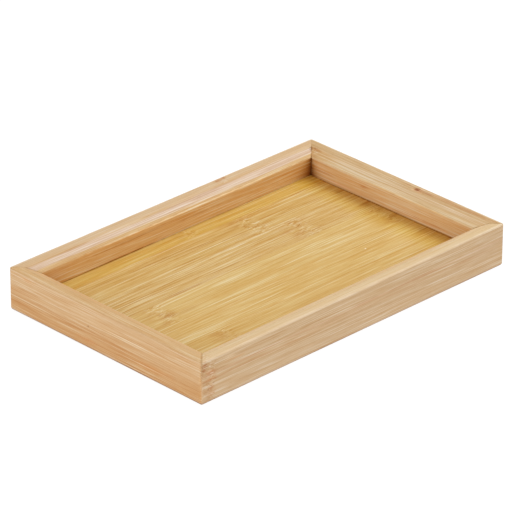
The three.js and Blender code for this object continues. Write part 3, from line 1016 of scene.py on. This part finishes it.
# What sets each rail's two lamellae apart, the face (outer) one first. Marks are placed in the tray's own
# frame.
RAIL_FINISHES = {
    "front": (
        {
            "middle": tone(202, 170, 130),
            "contrast": 0.8,
            "width": 0.5,
            "calm": [Band("height", RAIL_HEIGHT, 0.5, 0.4, 0.1, 0.4, None)],
            "nodes": [(-109.0, 4.0)],
            "bands": [
                # A painted highlight along the rail's top.
                Band("height", RAIL_HEIGHT, 0.7, 0.5, 0.1, 0.6, tone(223, 196, 152)),
                Band("height", 6.0, 6.0, 4.0, 0.5, 0.6, tone(207, 177, 140)),
                Band("height", 16.7, 0.5, 0.5, 0.6, 0.35, tone(202, 150, 112)),
                Band("height", 13.8, 0.5, 0.5, 0.6, 0.35, tone(198, 150, 104)),
                FOOT_SHADOW,
            ],
            "flecks": [
                Fleck((-108.6, FRONT_FACE, 18.2), 5.5, 2.2, 0.5, tone(200, 140, 92)),
                Fleck((-107.8, FRONT_FACE, 14.2), 5.5, 2.0, 0.5, tone(198, 142, 88)),
                Fleck((-108.5, FRONT_FACE, 9.4), 3.6, 2.6, 0.55, tone(192, 136, 84)),
                Fleck((-108.0, FRONT_FACE, 5.4), 4.6, 2.2, 0.5, tone(196, 142, 90)),
                Fleck((-112.6, FRONT_FACE, 23.2), 2.4, 1.8, 0.55, tone(176, 116, 70)),
                Fleck((-113.2, FRONT_FACE, 20.6), 1.8, 1.4, 0.5, tone(176, 116, 70)),
                Fleck((-110.2, FRONT_FACE, 8.0), 1.0, 0.7, 0.5, DARK_MARK),
                Fleck((-106.4, FRONT_FACE, 10.9), 0.9, 0.6, 0.45, DARK_MARK),
                Fleck((-95.0, FRONT_FACE, 22.0), 6.0, 1.8, 0.45, tone(220, 190, 150)),
                Fleck((-90.0, FRONT_FACE, 20.0), 12.0, 0.7, 0.4, ORANGE_MARK),
                Fleck((8.0, FRONT_FACE, 17.4), 16.0, 0.5, 0.5, tone(184, 134, 90)),
                Fleck((100.0, FRONT_FACE, 16.0), 22.0, 9.0, 0.35, tone(206, 178, 146)),
            ],
        },
        {"middle": tone(223, 191, 147), "contrast": 0.4},
    ),
    "right": (
        {
            "middle": tone(201, 168, 123),
            "contrast": 0.75,
            "width": 0.7,
            # Wear and a painted highlight on the outer top edge.
            "edge_wear_and_highlight_amount": 0.8,
            "nodes": [(-14.5, 3.0)],
            "bands": [FOOT_SHADOW],
            "flecks": [
                Fleck((111.8, -46.0, RAIL_HEIGHT), 38.0, 2.6, 0.8, tone(186, 136, 82)),
                Fleck((109.4, -11.0, RAIL_HEIGHT), 3.4, 1.0, 0.7, tone(234, 202, 164)),
                Fleck((109.3, -15.2, RAIL_HEIGHT), 3.4, 1.0, 0.7, tone(234, 202, 164)),
                Fleck((112.5, -14.6, RAIL_HEIGHT), 2.8, 1.0, 0.6, tone(230, 198, 158)),
                Fleck((110.9, -13.2, RAIL_HEIGHT), 5.0, 2.6, 0.8, tone(190, 136, 84)),
                Fleck((110.8, -12.8, RAIL_HEIGHT), 2.8, 1.7, 0.9, tone(150, 90, 46)),
                Fleck((111.0, -20.0, RAIL_HEIGHT), 6.0, 0.7, 0.6, tone(170, 110, 64)),
                Fleck((111.6, -5.0, RAIL_HEIGHT), 6.0, 0.6, 0.5, tone(186, 128, 80)),
                Fleck((112.6, -32.0, RAIL_HEIGHT), 11.0, 0.5, 0.5, tone(176, 122, 72)),
                Fleck((111.3, -52.0, RAIL_HEIGHT), 14.0, 0.5, 0.5, tone(176, 122, 72)),
            ],
        },
        {
            "middle": tone(205, 173, 129),
            "contrast": 0.9,
            "width": 0.75,
            "edge_wear_and_highlight_amount": 0.05,
            "nodes": [(64.0, 3.0)],
            "bands": [
                Band("height", 15.0, 7.2, 0.4, 0.1, 0.7, tone(233, 194, 146)),
                Band("depth", 8.0, 0.9, 0.7, 0.8, 0.35, tone(214, 184, 146)),
                Band("depth", 10.6, 0.9, 0.7, 0.5, 0.6, tone(219, 192, 151)),
            ],
            "calm": [Band("depth", 9.0, 3.0, 0.8, 0.2, 0.25, None)],
            # Painted shade along the wall's foot.
            "shades": [Band("height", PANEL_TOP, 0.6, 0.5, 0.15, 0.35, None)],
            "flecks": [
                Fleck((107.4, -47.0, 24.6), 22.0, 1.1, 0.6, tone(214, 188, 156)),
                Fleck((108.8, -20.0, 25.3), 34.0, 0.5, 0.5, tone(194, 146, 92)),
                # A painted highlight along the lip.
                Fleck((102.9, 0.0, LIP_HEIGHT), 85.0, 1.0, 0.5, tone(238, 206, 154)),
                Fleck((105.8, 60.0, 23.8), 18.0, 6.5, 0.55, tone(202, 158, 99)),
                Fleck((107.8, 63.4, 24.7), 4.5, 2.0, 0.6, tone(190, 138, 80)),
                Fleck((108.4, 64.6, 25.0), 1.8, 0.8, 0.5, tone(166, 112, 64)),
                Fleck((107.3, 61.6, 24.5), 3.4, 0.6, 0.45, tone(176, 120, 64)),
                Fleck((106.4, 60.4, 24.0), 3.4, 0.5, 0.4, tone(180, 126, 70)),
                Fleck((RIGHT_WALL, 21.0, 18.3), 5.5, 1.2, 0.55, tone(200, 132, 72)),
                Fleck((RIGHT_WALL, 38.0, 12.9), 18.0, 0.7, 0.5, tone(234, 190, 152)),
                Fleck((RIGHT_WALL, 52.0, 16.2), 10.0, 0.9, 0.5, tone(190, 122, 72)),
                Fleck((RIGHT_WALL, -30.0, 13.5), 18.0, 0.9, 0.45, tone(206, 140, 82)),
            ],
        },
    ),
    "back": (
        {
            "middle": tone(208, 175, 134),
            "contrast": 0.8,
            "width": 0.6,
            "calm": [Band("height", RAIL_HEIGHT, 0.9, 0.5, 0.1, 0.5, None)],
            # Wear and a painted highlight on the outer top edge.
            "edge_wear_and_highlight_amount": 0.95,
            "nodes": [(41.0, 3.5)],
            "bands": [FOOT_SHADOW],
            "flecks": [
                Fleck((40.0, 72.8, RAIL_HEIGHT), 6.0, 2.4, 0.45, tone(196, 146, 98)),
                Fleck((37.6, 72.6, RAIL_HEIGHT), 2.0, 0.9, 0.7, tone(180, 120, 72)),
                Fleck((43.3, 73.0, RAIL_HEIGHT), 1.3, 1.8, 0.7, tone(178, 118, 70)),
            ],
        },
        {
            "middle": tone(200, 161, 107),
            "contrast": 1.15,
            "width": 0.65,
            "edge_wear_and_highlight_amount": 0.05,
            "bands": [
                Band("height", 15.0, 7.1, 0.3, 0.1, 0.8, tone(226, 180, 120)),
                # A painted sheen along the slope.
                Band("depth", 8.6, 1.7, 0.8, 0.7, 0.75, tone(205, 175, 149)),
                Band("depth", 11.2, 0.6, 0.5, 0.3, 0.5, tone(208, 167, 104)),
            ],
            "calm": [Band("depth", 9.0, 3.2, 0.8, 0.2, 0.3, None)],
            # Painted shade along the wall's foot, and under the groove's lip at its left part.
            "shades": [
                Band("height", PANEL_TOP, 0.35, 0.3, 0.1, 0.2, None),
                Fleck((-46.0, BACK_WALL, 11.0), 56.0, 0.7, 0.5, None),
            ],
            "flecks": [
                # Painted highlights along the lip.
                Fleck((0.0, BACK_WALL, 22.0), 150.0, 1.0, 0.45, tone(236, 200, 146)),
                Fleck((24.0, BACK_WALL, 22.0), 120.0, 0.7, 0.75, tone(252, 230, 190)),
                Fleck((-33.0, BACK_WALL, 19.2), 36.0, 0.9, 0.5, tone(190, 126, 60)),
                Fleck((15.0, BACK_WALL, 17.3), 20.0, 1.1, 0.5, tone(190, 124, 56)),
                Fleck((-93.0, BACK_WALL, 18.0), 14.0, 6.0, 0.5, tone(218, 174, 128)),
            ],
            "gloss": [Band("depth", 8.6, 1.7, 0.9, 0.5, 0.25, None)],
        },
    ),
    "left": (
        {
            "middle": tone(209, 172, 128),
            "contrast": 0.8,
            "width": 0.5,
            "edge_wear_and_highlight_amount": 0.15,
            "bands": [
                Band("height", 4.0, 9.0, 6.5, 1.2, 0.65, tone(194, 141, 82)),
                Band("height", RAIL_HEIGHT, 0.7, 0.5, 0.1, 0.6, tone(207, 168, 113)),
                LEFT_FOOT_SHADOW,
            ],
            "flecks": [
                Fleck((LEFT_FACE, 60.0, 22.9), 8.0, 1.3, 0.5, tone(210, 154, 98)),
                Fleck((LEFT_FACE, -16.5, 16.9), 62.0, 0.5, 0.25, PALE_MARK),
                Fleck((LEFT_FACE, -26.0, 15.7), 52.0, 0.4, 0.2, PALE_MARK),
                Fleck((LEFT_FACE, 12.0, 13.9), 0.8, 0.6, 0.75, tone(120, 74, 42)),
                Fleck((LEFT_FACE, 12.0, 5.4), 10.0, 2.0, 0.5, tone(202, 140, 80)),
                Fleck((LEFT_FACE, -38.0, 7.5), 20.0, 3.0, 0.45, tone(204, 144, 84)),
            ],
        },
        {"middle": tone(213, 173, 123), "contrast": 0.3},
    ),
}

# Each rail's number times these seeds its fibres, the face lamella first.
RAIL_SEEDS = (11.3, 7.9)

# Painted shade on the panel by the right wall, tinted golden and then brown, darkest at its very edge.
GOLDEN_WALL_SHADE = Band("along", 108.0, 21.0, 7.0, 3.0, 1.0, (0.95, 0.92, 0.59, 1))
BROWN_WALL_SHADE = Band("along", 112.0, 16.5, 7.5, 2.5, 1.0, (0.97, 0.80, 0.76, 1))
RIGHT_WALL_CONTACT_SHADE = Band("along", 103.6, 1.2, 1.0, 0.3, 0.4, None)
# Painted shade lies in a line along the panel's edge by the left part of the back wall.
BACK_GAP_SHADE = Fleck((-46.0, 62.8, PANEL_TOP), 56.0, 0.6, 0.7, tone(170, 104, 52))
# The second strip takes on the back strip's deeper tone along their joint.
GOLDEN_JOINT = Band("across", 52.5, 3.0, 3.0, 2.0, 0.5, tone(208, 164, 86))
PANEL_FIBRE_WIDTH = 0.75
PANEL_TONE = tone(208, 170, 100)
BACK_STRIP_TONE = tone(211, 173, 92)

# Each strip from back to front: its tone, seed, how strongly its fibres show, its nodes and its bands.
# Its shades are patches of painted shade by the right wall.
STRIP_FINISHES = (
    {"middle": BACK_STRIP_TONE, "seed": 2.3, "contrast": 0.85, "nodes": [(2.0, 6.5)],
     "flecks": [Fleck((-82.0, 54.0, PANEL_TOP), 26.0, 2.4, 0.4, tone(204, 148, 66)), BACK_GAP_SHADE]},
    {"middle": tone(206, 168, 100), "seed": 3.4, "contrast": 1.05, "nodes": [(35.0, 10.0)],
     "bands": [GOLDEN_JOINT],
     "shades": [Fleck((99.5, 37.0, PANEL_TOP), 5.0, 3.0, 0.08, None)]},
    {"middle": tone(207, 170, 105), "seed": 5.1, "contrast": 1.2, "nodes": [(52.0, 10.0)],
     "flecks": [Fleck((-46.0, 10.2, PANEL_TOP), 30.0, 1.6, 0.5, tone(188, 137, 70))],
     "shades": [Fleck((99.0, 15.0, PANEL_TOP), 6.0, 4.0, 0.1, None)]},
    {"middle": tone(211, 176, 109), "seed": 6.8, "contrast": 0.85, "nodes": [(-73.0, 8.0), (96.0, 7.0)],
     "flecks": [
         Fleck((-72.0, -5.0, PANEL_TOP), 8.0, 5.0, 0.45, tone(192, 144, 72)),
         Fleck((-75.0, -1.5, PANEL_TOP), 3.0, 1.3, 0.5, tone(178, 124, 60)),
         Fleck((-62.0, -7.0, PANEL_TOP), 16.0, 2.8, 0.4, tone(194, 148, 76)),
     ],
     "shades": [Fleck((97.0, -6.0, PANEL_TOP), 6.0, 3.5, 0.07, None)]},
    {"middle": tone(210, 173, 104), "seed": 8.5, "contrast": 0.85,
     "flecks": [Fleck((59.4, -22.9, PANEL_TOP), 0.7, 0.5, 1.0, tone(246, 238, 218))],
     "shades": [Fleck((99.0, -28.0, PANEL_TOP), 5.0, 3.0, 0.07, None)]},
    {"middle": PANEL_TONE, "seed": 10.2, "contrast": 0.8, "nodes": [(-63.0, 6.5)]},
    {"middle": PANEL_TONE, "seed": 11.9, "contrast": 0.8},
)


def make_panel():
    """The panel's strips, each in its own finish."""
    for index, finish in enumerate(STRIP_FINISHES, start=1):
        # Every strip takes the painted shade by the right wall.
        by_the_wall = {
            "shade_tints": [GOLDEN_WALL_SHADE, BROWN_WALL_SHADE],
            "shades": [*finish.get("shades", ()), RIGHT_WALL_CONTACT_SHADE],
        }
        material = bamboo_material(
            f"panel_strip_{index}_finish", width=PANEL_FIBRE_WIDTH, edge_wear_and_highlight_amount=0.0, **{**finish, **by_the_wall},
        )
        make_strip(index, [place for place, reach in finish.get("nodes", ())], material)


def across_grain(side, mark):
    """A rail's mark, with a band's depth turned into its place across the grain."""
    if isinstance(mark, Fleck) or mark.axis != "depth":
        return mark
    facing = 1 if side in ("front", "right") else -1
    return mark._replace(axis="across", centre=facing * (mark.centre - SIDES[side].across / 2))


def make_rails():
    """The rails' lamellae, each in its own finish."""
    for number, side in enumerate(SIDES, start=1):
        grain_turn = abs(math.sin(SIDES[side].turn)) * math.pi / 2
        for label, slot, seed, finish in zip(
            ("outer", "inner"), ("rail_face_bamboo", "rail_core_bamboo"), RAIL_SEEDS, RAIL_FINISHES[side]
        ):
            placed = {
                kind: [across_grain(side, mark) for mark in finish.get(kind, ())]
                for kind in ("bands", "calm", "shades", "gloss")
            }
            material = bamboo_material(
                f"{side}_rail_{label}_finish", seed=seed * number, turn=grain_turn, **{**finish, **placed},
            )
            make_lamella(side, label == "outer", material)


# Studio

COOL_WHITE = (0.93, 0.97, 1.0)
PLAIN_WHITE = (1.0, 1.0, 1.0)
# Each softbox: its place and width in metres, its power and its colour.
SOFTBOXES = {
    "key_softbox": ((0.93, 0.0, 1.17), 0.9, 11.5, COOL_WHITE),
    "left_softbox": ((-1.35, -0.3, 0.55), 1.0, 6.0, PLAIN_WHITE),
    "front_softbox": ((-0.3, -1.3, 0.7), 1.0, 3.2, PLAIN_WHITE),
    "back_softbox": ((0.4, 1.0, 1.0), 0.7, 1.8, COOL_WHITE),
}
BACKDROP_STRENGTH = 0.55
FLOOR_REACH = 6.0
FLOOR_TONE = (0.13, 0.13, 0.13, 1)
FLOOR_GLOW = 0.93
FLOOR_ROUGHNESS = 0.9
FLOOR_SPECULAR = 0.1
CLIP_END = 50


def make_camera():
    """The photograph's camera, aimed near the middle of the tray's footprint."""
    azimuth, elevation = CAMERA_AZIMUTH, CAMERA_ELEVATION
    back = Vector((
        math.sin(azimuth) * math.cos(elevation),
        -math.cos(azimuth) * math.cos(elevation),
        math.sin(elevation),
    ))
    level = Vector((math.cos(azimuth), math.sin(azimuth), 0))
    right = level * math.cos(CAMERA_ROLL) + back.cross(level) * math.sin(CAMERA_ROLL)
    up = back.cross(right)
    data = bpy.data.cameras.new("photo_camera")
    data.sensor_fit = "HORIZONTAL"
    data.sensor_width = SENSOR_WIDTH
    data.lens = FOCAL_PIXELS / FRAME_PIXELS * SENSOR_WIDTH
    data.clip_end = CLIP_END
    camera = bpy.data.objects.new("photo_camera", data)
    place = back * CAMERA_DISTANCE + right * CAMERA_SIDE_SHIFT + up * CAMERA_RISE
    camera.matrix_world = Matrix.Translation(place) @ Matrix((right, up, back)).transposed().to_4x4()
    bpy.context.scene.collection.objects.link(camera)
    bpy.context.scene.camera = camera


def make_softbox(name, place, size, power, colour):
    """A round soft light aimed at the middle of the tray."""
    data = bpy.data.lights.new(name, "AREA")
    data.shape = "DISK"
    data.size = size
    data.energy = power
    data.color = colour
    lamp = bpy.data.objects.new(name, data)
    lamp.location = place
    lamp.rotation_mode = "QUATERNION"
    lamp.rotation_quaternion = (-lamp.location).to_track_quat("-Z", "Y")
    lamp.visible_camera = False
    bpy.context.scene.collection.objects.link(lamp)


def make_floor():
    """A plain white floor, which glows so that the tray's shadow stays faint."""
    mesh = bpy.data.meshes.new("studio_floor")
    reach = FLOOR_REACH
    corners = [(-reach, -reach, 0), (reach, -reach, 0), (reach, reach, 0), (-reach, reach, 0)]
    mesh.from_pydata(corners, [], [(0, 1, 2, 3)])
    floor = bpy.data.objects.new("studio_floor", mesh)
    bpy.context.scene.collection.objects.link(floor)
    material = bpy.data.materials.new("white_floor")
    material.use_nodes = True
    shader = material.node_tree.nodes["Principled BSDF"]
    shader.inputs["Base Color"].default_value = FLOOR_TONE
    shader.inputs["Emission Color"].default_value = (*PLAIN_WHITE, 1)
    shader.inputs["Emission Strength"].default_value = FLOOR_GLOW
    shader.inputs["Roughness"].default_value = FLOOR_ROUGHNESS
    shader.inputs["Specular IOR Level"].default_value = FLOOR_SPECULAR
    mesh.materials.append(material)


def make_studio():
    """White surroundings, four softboxes and the floor."""
    world = bpy.data.worlds.new("white_studio")
    world.use_nodes = True
    backdrop = world.node_tree.nodes["Background"]
    backdrop.inputs["Color"].default_value = (*PLAIN_WHITE, 1)
    backdrop.inputs["Strength"].default_value = BACKDROP_STRENGTH
    bpy.context.scene.world = world
    bpy.context.scene.view_settings.view_transform = "Standard"
    for name, (place, size, power, colour) in SOFTBOXES.items():
        make_softbox(name, place, size, power, colour)
    make_floor()


make_camera()
make_studio()
make_rails()
make_panel()
make_splines(bamboo_material("spline_finish", SPLINE_TONE, seed=3.3, roughness=0.75, edge_wear_and_highlight_amount=0.0))
